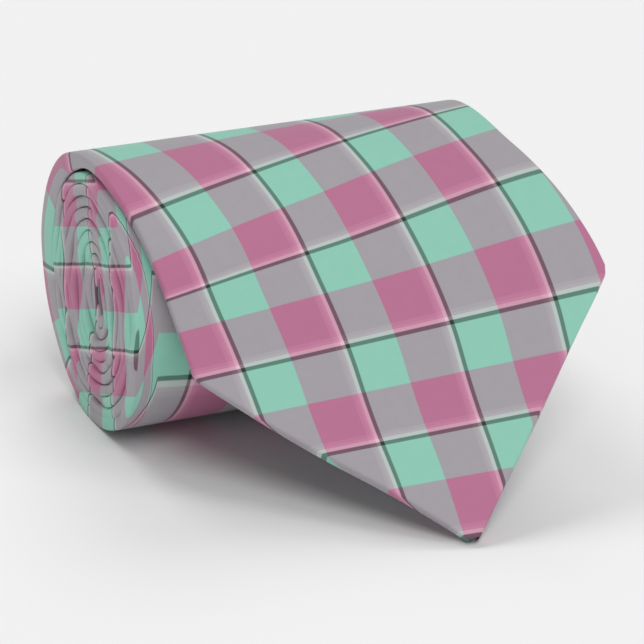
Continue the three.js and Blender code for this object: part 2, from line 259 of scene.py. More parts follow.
SPLIT = -100.0         # under the roll, where the bending cloth meets the rolled cloth
CORE_REACH = 12.5      # the squeezed core's radius
CORE_SQUEEZE = 0.24
CORE_TWIST = 0.55
CORE_SINK = 2.2
FLOOR_SOFT = 0.25

# ---- the print -------------------------------------------------------------------
PERIOD = 25.4          # one repeat of the plaid across the cloth
ROW_STRETCH = 1.107    # rows are a little longer than columns are wide
LAST_ROW_SHIFT = 0.04  # the row nearest the point comes a little sooner
POINT_ROW = 5.01       # the point ends in this row's dark line
FIRST_COLUMN = 11.4    # the first dark line's distance from the blade's left edge
FIRST_ROW = -17.6      # and the first dark line across it, along the cloth
STRAIGHT_COLUMN = 1.5
COLUMN_SPREAD = -0.04
SPREAD_ROW = 2.8
ROW_SLOPE = 0.7
ROW_DIP = 15.0
ROLLED_COLUMN = 14.5   # the roll's print: its first column, how that leans, its rows
ROLLED_LEAN = 0.09
ROLLED_START = -150.7
ROLLED_ROW = -180.7
ROLLED_SLOPE = 0.148
ROLLED_STEP = 27.1
ROLLED_LATER_STEP = 62.0
END_COLUMN = -15.5     # the flush end's print, in the roll's end plane
END_COLUMN_STEP = 17.2
END_ROW = 19.5
END_ROW_STEP = 22.4
END_TILT = 0.404
BAND_AT = (-116.8, -88.9, -61.3, -12.0, 17.0)  # the outer edge's rows, along the cloth
BAND_ROW = (-3, -2, -1, 0, 1)


def smooth(a, b, t):
    t = np.clip((np.asarray(t, float) - a) / (b - a), 0, 1)
    return t * t * (3 - 2 * t)


# =============================== camera ==========================================
VIEW_AZIMUTH = math.radians(21.74)
VIEW_TILT = math.radians(24.82)
CAMERA_FROM_ROLL = Vector((-0.4689, -1.3298, 0.6782))
CAMERA_LENS = 353.5
SENSOR = 36.0

hinge = next(joint for joint in frame["joints"] if joint["name"] == "blade_lift")
AXIS_Y = hinge["pos_m"][1] / MM
SHIFT_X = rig.box("blade_shell_rolled")[0].x / MM

camera_data = bpy.data.cameras.new("camera")
camera_data.lens = CAMERA_LENS
camera_data.sensor_width = SENSOR
camera_data.clip_start = 0.05
camera_data.clip_end = 50
camera = bpy.data.objects.new("camera", camera_data)
forward = Vector((
    math.sin(VIEW_AZIMUTH) * math.cos(VIEW_TILT),
    math.cos(VIEW_AZIMUTH) * math.cos(VIEW_TILT),
    -math.sin(VIEW_TILT),
))
camera.rotation_mode = "QUATERNION"
camera.rotation_quaternion = forward.to_track_quat("-Z", "Y")
camera.location = CAMERA_FROM_ROLL + Vector((SHIFT_X, AXIS_Y, 0)) * MM
bpy.context.scene.collection.objects.link(camera)
bpy.context.scene.camera = camera

# =============================== the cloth's surface ==============================


def spiral_radius(angle):
    angle = np.asarray(angle, float)
    first = np.minimum(angle, TURN)
    rest = np.maximum(angle - TURN, 0)
    return ROLL_RADIUS - (OUTER_PITCH * first + TURN_PITCH * rest) / TURN


def spiral_table():
    step = 0.002
    angles = np.arange(0, MOST_TURNED, step)
    radii = spiral_radius(angles)
    runs = np.hypot(spiral_radius(angles[:-1] + step / 2) * step, np.diff(radii))
    lengths = np.concatenate([[0], np.cumsum(runs)])
    keep = radii > CORE_END
    return lengths[keep], angles[keep]


SPIRAL_LENGTH, SPIRAL_ANGLE = spiral_table()


def slim(x):
    return 1 - ROLL_TAPER * np.asarray(x, float) / BLADE_WIDTH


def drift(along):
    return SIDE_DRIFT * smooth(DRIFT_FROM, DRIFT_TO, along)


def side_profile(bends, settle, scale):
    step = PROFILE_STEP
    count = int((FREE_LENGTH + 4) / step)
    middle = np.arange(count) * step + step / 2
    previous = 1 / (ROLL_RADIUS * scale)
    rate = np.full(count, previous)
    start = LEAVE_ARC
    for i, (bend, length) in enumerate(zip(bends, BEND_LENGTHS)):
        following = math.radians(bend + (settle if i == 1 else 0)) / length
        rate = rate + (following - previous) * smooth(start - 4, start + 4, middle)
        previous = following
        start += length
    tilt = np.cumsum(rate * step) - rate * step / 2
    y = -np.concatenate([[0], np.cumsum(np.cos(tilt) * step)])
    drop = np.concatenate([[0], np.cumsum(np.sin(tilt) * step)])
    return np.arange(count + 1) * step, y, (AXIS_HEIGHT + ROLL_RADIUS) * scale - drop


def flap_surface(x, along, sides):
    left, right = sides
    share = np.asarray(x, float) / BLADE_WIDTH
    y, z = (
        (1 - share) * np.interp(along, left[0], left[i])
        + share * np.interp(along, right[0], right[i])
        for i in (1, 2)
    )
    down = np.clip((np.asarray(along) - ARCH_START) / ARCH_LENGTH, 0, 1)
    z = z + RIGHT_LIFT * smooth(ARCH_SHARE, 1, share) * np.sin(math.pi * down) ** 2
    return np.stack([x + drift(along), y, z], -1)


def flap_point(x, depth, along, sides):
    e = 0.5
    across = flap_surface(x + e, along, sides) - flap_surface(x - e, along, sides)
    low = np.maximum(along - e, 0)
    down = flap_surface(x, along + e, sides) - flap_surface(x, low, sides)
    normal = np.cross(down, across)
    normal /= np.linalg.norm(normal, axis=-1, keepdims=True)
    normal = np.where(normal[..., 2:] < 0, -normal, normal)
    return flap_surface(x, along, sides) - normal * depth[..., None]


def settled_sides():
    """The two side profiles whose point just rests on the floor."""
    stiff, limp = -SETTLE_MOST, SETTLE_MOST
    for _ in range(SETTLE_HALVINGS):
        settle = (stiff + limp) / 2
        sides = (
            side_profile(LEFT_BENDS, settle, 1),
            side_profile(RIGHT_BENDS, settle, float(slim(BLADE_WIDTH))),
        )
        depth = np.array(BACK_OUTER + TIPPING_STACK)
        tip = flap_point(np.array(BLADE_WIDTH / 2), depth, np.array(FREE_LENGTH), sides)
        if tip[2] > FLOOR_CLEAR:
            stiff = settle
        else:
            limp = settle
    return sides


SIDES = settled_sides()

rng = np.random.default_rng(7)
WAVES = [
    (rng.uniform(*WAVE_LENGTHS), rng.uniform(0, TURN), rng.uniform(0.5, 1))
    for _ in range(WAVE_COUNT)
]


def wander(along, offset=0.0):
    """A smooth, repeatable unevenness from about -1 to 1 along the cloth."""
    total = sum(s * np.sin(TURN * (along + offset) / w + p) for w, p, s in WAVES)
    return total / sum(s for _, _, s in WAVES) * WAVE_GAIN


def place(x, depth, along):
    """Points of the frame, in millimetres, for points of the cloth."""
    x, depth, along = np.broadcast_arrays(
        np.asarray(x, float), np.asarray(depth, float), np.asarray(along, float)
    )
    # the folded edges aren't cut to a line: they wander a little in and out
    size = OUTER_WANDER + INNER_WANDER * smooth(*INNER_RUN, along)
    near_left = np.exp(-np.maximum(x, 0) / LEFT_REACH)
    near_right = np.exp(-np.maximum(BLADE_WIDTH - x, 0) / RIGHT_REACH)
    x = x + size * (wander(along) * near_left + wander(along, RIGHT_WAVE) * near_right)
    angle = np.interp(np.maximum(-along, 0), SPIRAL_LENGTH, SPIRAL_ANGLE)
    radius = spiral_radius(angle) - depth
    radius = radius + BACK_FULL * np.where(angle < math.pi, np.sin(angle) ** 2, 0)
    coil = smooth(*COIL_RUN, along)
    y = radius * np.sin(angle) * (1 - COIL_SHRINK * coil) - COIL_FORWARD * coil
    z = radius * np.cos(angle)
    reach = np.hypot(y, z)
    core = np.exp(-((reach / CORE_REACH) ** 2))
    turn = CORE_TWIST * core
    y, z = y * np.cos(turn) - z * np.sin(turn), y * np.sin(turn) + z * np.cos(turn)
    y = y * (1 - CORE_SQUEEZE * core)
    z = z * (1 + CORE_SQUEEZE * core)
    sink = CORE_SINK * core * near_left
    z = AXIS_HEIGHT + z
    z = (z + np.sqrt(z * z + FLOOR_SOFT**2)) / 2
    roll = np.stack([x + drift(along) + sink, y * slim(x), z * slim(x)], -1)
    flap = flap_point(x, depth, np.maximum(along, 0), SIDES)
    points = np.where((along < 0)[..., None], roll, flap)
    return points + np.array([SHIFT_X, AXIS_Y, 0])


# ---- widths and openings ---------------------------------------------------------
def full_width(from_point):
    ends = [TAPER_START, NECK_START, NECK_END, TIE_LENGTH - TAIL_POINT]
    return np.interp(from_point, ends, [BLADE_WIDTH, NECK_WIDTH, NECK_WIDTH, TAIL_WIDTH])


def edges(from_point):
    width = full_width(from_point)
    share = np.minimum(from_point / BLADE_POINT, (TIE_LENGTH - from_point) / TAIL_POINT)
    half = (POINT_BLUNT + (width - POINT_BLUNT) * np.minimum(share, 1)) / 2
    return width / 2 - half, width / 2 + half


def parting(from_point):
    """Half the width left open between the back panels (negative: their lap),
    and how far the lapping one is raised, from 0 to 1."""
    near_blade = from_point < TIE_LENGTH / 2
    distance = np.where(near_blade, from_point, TIE_LENGTH - from_point)
    opening = np.where(near_blade, BLADE_OPENING, TAIL_OPENING)
    point = np.where(near_blade, BLADE_POINT, TAIL_POINT)
    left, right = edges(from_point)
    most = np.maximum((right - left) / 2 - HEM, 0.3)
    lap = -SEAM_OVERLAP / 2
    t = (opening - 2 - distance) / (opening - 6 - point)
    half_open = 0.5 + t * (full_width(from_point) / 2 - HEM - 0.5)
    half_open = np.minimum(half_open, most)
    closing = 0.5 + (lap - 0.5) * np.clip((distance - opening + 2) / 2, 0, 1)
    lift = np.clip((distance - opening + 5) / 3, 0, 1)
    return np.where(distance >= opening - 2, closing, half_open), lift


def back_drop(along):
    return TIPPING_STACK * smooth(4, 16, along)


# =============================== the print ========================================
def hump(t, centre, width):
    return np.exp(-(((t - centre) / width) ** 2))


def front_print(x, along):
    """Column and row of the plaid, counted in repeats, on the blade's outer face."""
    row_length = PERIOD * ROW_STRETCH
    c = (x - FIRST_COLUMN) / PERIOD
    r = (along - FIRST_ROW) / row_length
    for _ in range(6):
        bow = ROW_SLOPE * (1 + r) - ROW_DIP * hump(r, 1.15, 1.1)
        sway = 0.08 * hump(r, 0.3, 0.4) - 0.03 * hump(r, 1.5, 0.5)
        r = (along - FIRST_ROW - (c - STRAIGHT_COLUMN) / 2 * bow) / row_length
        spread = (c - STRAIGHT_COLUMN) * COLUMN_SPREAD * (r - SPREAD_ROW)
        c = (x - FIRST_COLUMN) / PERIOD - spread + sway
    r = r + LAST_ROW_SHIFT * smooth(3.3, 4, r)
    return c, np.minimum(r, POINT_ROW)


def rolled_print(x, along):
    """The cloth further in lies with its print the other way up."""
    c = -(x - ROLLED_COLUMN - ROLLED_LEAN * (ROLLED_START - along)) / PERIOD
    level = along - ROLLED_SLOPE * x - ROLLED_ROW
    later = 1 + (level - ROLLED_STEP) / ROLLED_LATER_STEP
    return c, -np.where(level < ROLLED_STEP, level / ROLLED_STEP, later)


def end_print(points):
    """The roll's flush end: the plaid runs straight across all the turns."""
    y = points[..., 1] - AXIS_Y
    z = points[..., 2] + END_TILT * y
    return (y - END_COLUMN) / END_COLUMN_STEP, (z - END_ROW) / END_ROW_STEP


def band_print(x, along):
    """The outer turn's folded edge, seen in the roll's end."""
    return (x - FIRST_COLUMN) / PERIOD, np.interp(along, BAND_AT, BAND_ROW)


# =============================== meshes ============================================
def add_mesh(name, vertices, faces, uv=None):
    """vertices in millimetres; uv is one pair for each corner of each face."""
    mesh = bpy.data.meshes.new(name)
    mesh.from_pydata((np.asarray(vertices) * MM).tolist(), [], faces)
    mesh.polygons.foreach_set("use_smooth", [True] * len(mesh.polygons))
    if uv is not None:
        layer = mesh.uv_layers.new(name="print")
        layer.data.foreach_set("uv", np.asarray(uv, np.float32).ravel())
    mesh.update()
    made = bpy.data.objects.new(name, mesh)
    bpy.context.scene.collection.objects.link(made)
    return made


def stations(start, end):
    """Lengths along the cloth: close together at the point, 6 degrees on the roll."""
    marks = [start]
    while marks[-1] < end:
        here = marks[-1]
        if here > FREE_LENGTH - 12:
            step = 1.0
        elif here >= -2:
            step = 2.0
        else:
            angle = np.interp(-here, SPIRAL_LENGTH, SPIRAL_ANGLE)
            step = max(0.6, min(2.6, float(spiral_radius(angle)) * math.radians(5.5)))
        marks.append(min(here + step, end))
    if marks[-1] - marks[-2] < 0.3:
        del marks[-2]
    return np.array(marks)


def spread_over(a, b, count):
    """count points evenly from a to b, both ends in; a and b may be arrays."""
    t = np.linspace(0, 1, count)
    return np.asarray(a)[:, None] * (1 - t) + np.asarray(b)[:, None] * t


def walk(path, thickness):
    """The inner side of a cloth whose outer side is path: [stations, points, 2]."""
    tangent = np.gradient(path, axis=1)
    tangent /= np.maximum(np.linalg.norm(tangent, axis=-1, keepdims=True), 1e-9)
    inward = np.stack([-tangent[..., 1], tangent[..., 0]], -1)
    return path + inward * thickness


def thick_strip(name, along, outer, inner, printed):
    """A closed body between an outer and an inner path, each [stations, points, 2]."""
    count, points = outer.shape[:2]
    loop = np.concatenate([outer, inner[:, ::-1]], axis=1)
    ring = 2 * points
    where = place(loop[..., 0], loop[..., 1], along[:, None])
    index = np.arange(count * ring).reshape(count, ring)
    a = index[:-1]
    b = np.roll(index, -1, axis=1)[:-1]
    c = np.roll(index, -1, axis=1)[1:]
    d = index[1:]
    sides = np.stack([a, d, c, b], -1)
    faces = sides.reshape(-1, 4).tolist()
    uv = printed(loop, where)
    uv_sides = np.stack([
        uv[:-1],
        uv[1:],
        np.roll(uv, -1, axis=1)[1:],
        np.roll(uv, -1, axis=1)[:-1],
    ], 2)
    corners = [uv_sides.reshape(-1, 2)]
    for row, flip in ((0, False), (count - 1, True)):
        for k in range(points - 1):
            cap = [k, k + 1, ring - 2 - k, ring - 1 - k]
            if flip:
                cap = cap[::-1]
            faces.append([int(index[row, v]) for v in cap])
            corners.append(uv[row, cap])
    return add_mesh(name, where.reshape(-1, 3), faces, np.concatenate(corners))


def edge_puff(along):
    """How much thicker than its middle the cloth is at its folded edges: on the
    roll each edge fills the room up to the next turn."""
    angle = np.interp(np.maximum(-along, 0), SPIRAL_LENGTH, SPIRAL_ANGLE)
    pitch = TURN_PITCH + (OUTER_PITCH - TURN_PITCH) * smooth(TURN + 0.4, TURN - 0.4, angle)
    rise = np.where(angle < math.pi, np.sin(angle), 0)
    pressed = rise * (COIL_FORWARD + (COIL_SHRINK * ROLL_RADIUS * 0.8 + BACK_FULL) * rise)
    rolled = pitch - BACK_OUTER - EDGE_GAP + pressed
    return EDGE_PUFF + (rolled - EDGE_PUFF) * smooth(2, -14, along)


def shell_path(along, columns, back_columns):
    """The printed side of the folded cloth, from the left back panel's end round
    the left fold, over the front and round the right fold to the lap's end."""
    from_point = FREE_LENGTH - along
    left, right = edges(from_point)
    half_open, lift = parting(from_point)
    middle = (left + right) / 2
    back = BACK_OUTER + back_drop(along)
    puff = edge_puff(along)
    full = back + puff
    round_x = np.minimum(FOLD_ROUND, 0.46 * (right - left))
    raised = (TUCK_CLEAR + SHELL) * lift
    left_end = np.maximum(middle - half_open, left + round_x + 0.05)
    right_end = np.minimum(middle + half_open, right - round_x - 0.05)
    step_from = np.minimum(np.maximum(left_end + 0.5, right_end + 0.01), right - round_x - 0.03)
    step_to = np.minimum(step_from + SEAM_STEP, right - round_x - 0.02)

    def panel(x0, x1, count, edge_at_start):
        x = spread_over(x0, x1, count)
        edge = x0[:, None] if edge_at_start else x1[:, None]
        swell = np.exp(-np.abs(x - edge) / 3.5)
        return np.stack([x, back[:, None] + puff[:, None] * swell], -1)

    def fold(centre, sign):
        turns = np.linspace(math.pi / 2, -math.pi / 2, 9)[1:-1]
        if sign > 0:
            turns = turns[::-1]
        out, up = np.cos(turns) ** 0.55, np.sin(turns)
        corner = round_x[:, None] / full[:, None] * 2
        rise = np.sign(up) * (1 - np.minimum(corner, 1) * (1 - np.abs(up) ** 0.8))
        rise = np.where(np.abs(up) < 0.01, 0, rise)
        x = centre[:, None] + sign * round_x[:, None] * out
        depth = full[:, None] / 2 * (1 + rise)
        return np.stack([x, depth + 0 * x], -1)

    front_x = spread_over(left + round_x, right - round_x, columns)
    front = np.stack([front_x, 0 * front_x], -1)
    lap_x = np.stack([step_to * 0.5 + step_from * 0.5, step_from, right_end], -1)
    lap_x = np.minimum(lap_x, step_to[:, None] - 0.004)
    lap_depth = back[:, None] + raised[:, None] * np.array([0.5, 1, 1])
    path = np.concatenate([
        panel(left_end, left + round_x, back_columns, False),
        fold(left + round_x, -1),
        front,
        fold(right - round_x, 1),
        panel(right - round_x, step_to, back_columns, True),
        np.stack([lap_x, lap_depth], -1),
    ], axis=1)
    marks = back_columns + 7, back_columns + 7 + columns
    return path, marks


def unfolded(path, marks):
    """The cloth's own width coordinate along the path: the front face keeps x, and
    the folds and back panels carry on from it on both sides."""
    steps = np.linalg.norm(np.diff(path, axis=1), axis=-1)
    run = np.concatenate([np.zeros((len(path), 1)), np.cumsum(steps, axis=1)], axis=1)
    first = marks[0]
    return path[:, first, 0][:, None] + run - run[:, first][:, None]


def build_shell(name, start, end, columns, back_columns, printed_free):
    along = stations(start, end)
    outer, marks = shell_path(along, columns, back_columns)
    inner = walk(outer, SHELL)
    width = unfolded(outer, marks)

    def printed(loop, where):
        both = np.concatenate([width, width[:, ::-1]], axis=1)
        length = np.broadcast_to(along[:, None], both.shape)
        if printed_free:
            c, r = front_print(both, length)
            bent = band_print(both, length)
            share = smooth(-8, -24, length) * (np.concatenate(
                [smooth(0.6, -0.2, width), smooth(0.6, -0.2, width)[:, ::-1]], axis=1
            ))
            c = c * (1 - share) + bent[0] * share
            r = r * (1 - share) + bent[1] * share
        else:
            c, r = rolled_print(both, length)
            plane_c, plane_r = end_print(where)
            rim = np.concatenate([outer, inner[:, ::-1]], axis=1)
            left = rim[..., 0] < outer[:, marks[0], 0][:, None] + 0.01
            c = np.where(left, plane_c, c)
            r = np.where(left, plane_r, r)
        return np.stack([c, r], -1)

    return thick_strip(name, along, outer, inner, printed)


def flat_strip(name, start, end, inset, depth, thickness, columns):
    """A flat layer inside the tie, inset from both folded edges."""
    along = stations(start, end)
    left, right = edges(FREE_LENGTH - along)
    room = np.minimum(inset, (right - left) / 2 - 0.25)
    x = spread_over(left + room, right - room, columns)
    d = np.broadcast_to(np.asarray(depth(along) if callable(depth) else depth), along.shape)
    top = d[:, None] + 0 * x
    outer = np.stack([x, top], -1)
    inner = np.stack([x, top + thickness], -1)

    def printed(loop, where):
        length = np.broadcast_to(along[:, None], loop.shape[:2])
        return np.stack([loop[..., 0] / PERIOD, length / PERIOD], -1)

    return thick_strip(name, along, outer, inner, printed)


def thread_runs(name, lines, radius):
    """Round threads along polylines of (x, depth, along) points."""
    vertices, faces, uv = [], [], []
    sides = 6
    for line in lines:
        line = np.array(line, float)
        centre = place(line[:, 0], line[:, 1], line[:, 2])
        tangent = np.gradient(centre, axis=0)
        tangent /= np.linalg.norm(tangent, axis=1, keepdims=True)
        ref = np.array([1.0, 0, 0])
        if abs(tangent[0] @ ref) > 0.9:
            ref = np.array([0, 0, 1.0])
        u = np.cross(tangent, ref)
        u /= np.linalg.norm(u, axis=1, keepdims=True)
        v = np.cross(tangent, u)
        t = np.linspace(-1, 1, len(line))
        size = radius * np.sqrt(np.maximum(1 - 0.75 * t**8, 0.05))
        base = len(vertices)
        for i in range(len(line)):
            for k in range(sides):
                a = TURN * k / sides
                offset = size[i] * (math.cos(a) * u[i] + math.sin(a) * v[i])
                vertices.append(centre[i] + offset)
        for i in range(len(line) - 1):
            for k in range(sides):
                a, b = base + i * sides + k, base + i * sides + (k + 1) % sides
                faces.append([a, b, b + sides, a + sides])
                before, after = k / sides, (k + 1) / sides
                uv += [(before, i), (after, i), (after, i + 1), (before, i + 1)]
        faces.append([base + k for k in range(sides)][::-1])
        last = base + (len(line) - 1) * sides
        faces.append([last + k for k in range(sides)])
        uv += [(0, 0)] * (2 * sides)
    return add_mesh(name, vertices, faces, uv)


# =============================== materials ========================================
class Nodes:
    """A small helper for building one material's nodes."""

    def __init__(self, name):
        self.material = bpy.data.materials.new(name)
        self.material.use_nodes = True
        self.tree = self.material.node_tree
        self.shader = self.tree.nodes["Principled BSDF"]

    def add(self, kind, inputs=(), **settings):
        node = self.tree.nodes.new(kind)
        for key, value in settings.items():
            setattr(node, key, value)
        for socket, value in dict(inputs).items():
            if isinstance(value, bpy.types.NodeSocket):
                self.tree.links.new(value, node.inputs[socket])
            else:
                node.inputs[socket].default_value = value
        return node

    def math(self, operation, a, b=0.0):
        return self.add("ShaderNodeMath", {0: a, 1: b}, operation=operation).outputs[0]

    def colours(self, factor, stops):
        node = self.add("ShaderNodeValToRGB", {"Fac": factor})
        ramp = node.color_ramp
        ramp.elements.remove(ramp.elements[1])
        ramp.elements[0].position = stops[0][0]
        ramp.elements[0].color = (*stops[0][1], 1)
        for at, colour in stops[1:]:
            ramp.elements.new(at).color = (*colour, 1)
        return node.outputs["Color"]

    def mix(self, a, b, factor, mode="MIX"):
        node = self.add("ShaderNodeMix", data_type="RGBA", blend_type=mode)
        for socket, value in ((0, factor), (6, a), (7, b)):
            if isinstance(value, bpy.types.NodeSocket):
                self.tree.links.new(value, node.inputs[socket])
            else:
                node.inputs[socket].default_value = value
        return node.outputs[2]

    def finish(self, colour=None, bump=None, strength=0.3, distance=0.00005, **values):
        for socket, value in values.items():
            self.shader.inputs[socket.replace("_", " ")].default_value = value
        if colour is not None:
            self.tree.links.new(colour, self.shader.inputs["Base Color"])
        if bump is not None:
            node = self.add("ShaderNodeBump", {
                "Height": bump, "Strength": strength, "Distance": distance,
            })
            self.tree.links.new(node.outputs[0], self.shader.inputs["Normal"])
        return self.material


def tone(r, g, b):
    return (r / 255, g / 255, b / 255)


MINT = tone(143, 205, 184)
PINK = tone(186, 115, 147)
DARK = tone(40, 55, 50)
LAVENDER = tone(200, 128, 163)
LAVENDER_PALE = tone(210, 142, 172)
WHITISH = tone(236, 196, 208)
CLOTH_GAMMA = 2.2


def plaid_material():
    """Printed twill: each thread system has the same stripes, and the two are mixed."""
    nodes = Nodes("printed_cloth")
    uv = nodes.add("ShaderNodeUVMap", uv_map="print").outputs[0]
    split = nodes.add("ShaderNodeSeparateXYZ", {0: uv})
    soft = 0.003
    half = 0.019

    def edge(at, before, after):
        return [(at - soft, before), (at + soft, after)]

    stops = [(0.0, DARK)]
    stops += edge(half, DARK, MINT)
    stops += edge(0.455, MINT, PINK)
    stops += edge(0.885, PINK, LAVENDER)
    stops += edge(0.918, LAVENDER, LAVENDER_PALE)
    stops += edge(0.945, LAVENDER_PALE, WHITISH)
    stops += edge(1 - half, WHITISH, DARK)
    systems = []
    for axis in (0, 1):
        part = nodes.math("FRACT", split.outputs[axis])
        systems.append(nodes.colours(part, stops))
    mixed = nodes.mix(systems[0], systems[1], 0.5)
    colour = nodes.add("ShaderNodeGamma", {0: mixed, 1: CLOTH_GAMMA}).outputs[0]

    fine = nodes.add("ShaderNodeTexNoise", {"Vector": uv, "Scale": 9.0, "Detail": 5.0})
    shade = nodes.add("ShaderNodeMapRange", {
        0: fine.outputs[0], 1: 0.3, 2: 0.7, 3: 0.985, 4: 1.015,
    })
    colour = nodes.mix(colour, shade.outputs[0], 1.0, "MULTIPLY")
    # twill lines at 45 degrees, about a third of a millimetre apart
    diagonal = nodes.math("ADD", split.outputs[0], split.outputs[1])
    lines = nodes.math("SINE", nodes.math("MULTIPLY", diagonal, TURN * 54))
    across = nodes.math("SUBTRACT", split.outputs[0], split.outputs[1])
    cross = nodes.math("SINE", nodes.math("MULTIPLY", across, TURN * 82))
    weave = nodes.math("ADD", lines, nodes.math("MULTIPLY", cross, 0.4))
    slub = nodes.add("ShaderNodeTexNoise", {"Vector": uv, "Scale": 60.0, "Detail": 3.0})
    height = nodes.math("ADD", weave, nodes.math("MULTIPLY", slub.outputs[0], 1.5))
    thread_shade = nodes.add("ShaderNodeMapRange", {0: lines, 1: -1.0, 2: 1.0, 3: 0.975, 4: 1.01})
    colour = nodes.mix(colour, thread_shade.outputs[0], 1.0, "MULTIPLY")
    return nodes.finish(
        colour, height, strength=0.12, distance=0.00004,
        Roughness=0.58, Sheen_Weight=0.12, Sheen_Roughness=0.4, Specular_IOR_Level=0.28,
    )


def woven_material(name, colour, threads, contrast, roughness, sheen, bump=0.3):
    """A plain cloth of one colour, with its threads and a slow unevenness."""
    nodes = Nodes(name)
    uv = nodes.add("ShaderNodeUVMap", uv_map="print").outputs[0]
    split = nodes.add("ShaderNodeSeparateXYZ", {0: uv})
    warp = nodes.math("SINE", nodes.math("MULTIPLY", split.outputs[0], TURN * threads))
    weft = nodes.math("SINE", nodes.math("MULTIPLY", split.outputs[1], TURN * threads))
    weave = nodes.math("MULTIPLY", warp, weft)
    cloudy = nodes.add("ShaderNodeTexNoise", {"Vector": uv, "Scale": 3.0, "Detail": 6.0})
    both = nodes.math("ADD", nodes.math("MULTIPLY", weave, 0.25), cloudy.outputs[0])
    dark = tuple(v * (1 - contrast) for v in colour)
    light = tuple(min(1, v * (1 + contrast)) for v in colour)
    shaded = nodes.colours(both, [(0.25, dark), (0.75, light)])
    return nodes.finish(
        shaded, both, strength=bump, distance=0.00008,
        Roughness=roughness, Sheen_Weight=sheen, Sheen_Roughness=0.5,
    )


def felt_material(name, colour):
    nodes = Nodes(name)
    uv = nodes.add("ShaderNodeUVMap", uv_map="print").outputs[0]
    fibres = nodes.add("ShaderNodeTexNoise", {
        "Vector": uv, "Scale": 70.0, "Detail": 8.0, "Distortion": 2.5,
    })
    dark = tuple(v * 0.82 for v in colour)
    shaded = nodes.colours(fibres.outputs[0], [(0.3, dark), (0.7, colour)])
    return nodes.finish(
        shaded, fibres.outputs[0], strength=0.7, distance=0.0002,
        Roughness=0.95, Sheen_Weight=0.4, Sheen_Roughness=0.7,
    )


def thread_material():
    nodes = Nodes("thread")
    uv = nodes.add("ShaderNodeUVMap", uv_map="print").outputs[0]
    split = nodes.add("ShaderNodeSeparateXYZ", {0: uv})
    ply = nodes.math("ADD", split.outputs[0], nodes.math("MULTIPLY", split.outputs[1], 0.5))
    lay = nodes.math("SINE", nodes.math("MULTIPLY", ply, TURN * 3))
    shaded = nodes.colours(
        nodes.add("ShaderNodeMapRange", {0: lay, 1: -1.0, 2: 1.0}).outputs[0],
        [(0.0, (0.20, 0.165, 0.21)), (1.0, (0.36, 0.30, 0.37))],
    )
    return nodes.finish(shaded, lay, strength=0.5, distance=0.0001, Roughness=0.5, Sheen_Weight=0.2)


cloth_look = plaid_material()
lining_look = felt_material("interlining", (0.80, 0.77, 0.70))
tipping_look = woven_material("tipping", (0.26, 0.21, 0.27), 45, 0.10, 0.38, 0.3, 0.2)
label_look = woven_material("label", (0.82, 0.81, 0.77), 40, 0.05, 0.5, 0.2)
thread_look = thread_material()


def dress(made, look, slot_name, bodies, *nodes):
    """Gives a piece its material and slot, says what it stands for, and rides it."""
    made.data.materials.append(look)
    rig.slot(made, slot_name)
    if nodes:
        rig.replaces(made, *nodes)
    if len(bodies) == 1:
        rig.ride(made, bodies[0])
    else:
        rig.blend(made, "roll", "blade", start=BEND_START, end=BEND_END)
    return made


HINGE_AT = Vector((0, AXIS_Y * MM, (AXIS_HEIGHT + ROLL_RADIUS) * MM))
BEND_START = HINGE_AT + Vector((0, 5 * MM, 0))
BEND_END = HINGE_AT - Vector((0, 9 * MM, 0))
BOTH = ("roll", "blade")
ROLL = ("roll",)
BLADE = ("blade",)

# =============================== pieces ============================================
BLADE_END = FREE_LENGTH - BLADE_PIECE
NECK_FROM = BLADE_END - PIECE_GAP
NECK_TO = BLADE_END - NECK_PIECE
TAIL_TO = FREE_LENGTH - TIE_LENGTH

blade_cloth = build_shell("blade_cloth", SPLIT, FREE_LENGTH, 34, 14, True)
dress(blade_cloth, cloth_look, "printed_cloth", BOTH, "blade_shell_free")
blade_rolled = build_shell("blade_cloth_rolled", BLADE_END, SPLIT - 0.02, 18, 8, False)
dress(blade_rolled, cloth_look, "printed_cloth", ROLL, "blade_shell_rolled")
neck_cloth = build_shell("neck_cloth", NECK_TO, NECK_FROM, 8, 5, False)
dress(neck_cloth, cloth_look, "printed_cloth", ROLL, "neck_shell")
tail_cloth = build_shell("tail_cloth", TAIL_TO, NECK_TO - PIECE_GAP, 8, 5, False)
dress(tail_cloth, cloth_look, "printed_cloth", ROLL, "tail_shell")

LINING_INSET = 1.7
LINING_FROM_POINT = 5.0
TAIL_TIPPING_TOP = 68.0
free_lining = flat_strip(
    "interlining_bend", SPLIT, FREE_LENGTH - LINING_FROM_POINT,
    LINING_INSET, LINING_DEPTH, INTERLINING, 12)
dress(free_lining, lining_look, "interlining", BOTH, "interlining_free")
rolled_lining = flat_strip(
    "interlining_roll", TAIL_TO + TAIL_TIPPING_TOP + 0.3, SPLIT - 0.05,
    LINING_INSET, LINING_DEPTH, INTERLINING, 6)
dress(rolled_lining, lining_look, "interlining", ROLL, "interlining_rolled")

TIPPING_INSET = 2.0
TIPPING_TOP = 106.0
TIPPING_END = 5.0
blade_tipping = flat_strip(
    "blade_lining", FREE_LENGTH - TIPPING_TOP, FREE_LENGTH - TIPPING_END,
    TIPPING_INSET, BACK_INNER + 0.02, TIPPING, 12)
dress(blade_tipping, tipping_look, "tipping", BLADE, "blade_tipping")
tail_tipping = flat_strip(
    "tail_lining", TAIL_TO + TIPPING_END, TAIL_TO + TAIL_TIPPING_TOP,
    TIPPING_INSET, LINING_DEPTH + 0.2, TIPPING, 6)
dress(tail_tipping, tipping_look, "tipping", ROLL, "tail_tipping")


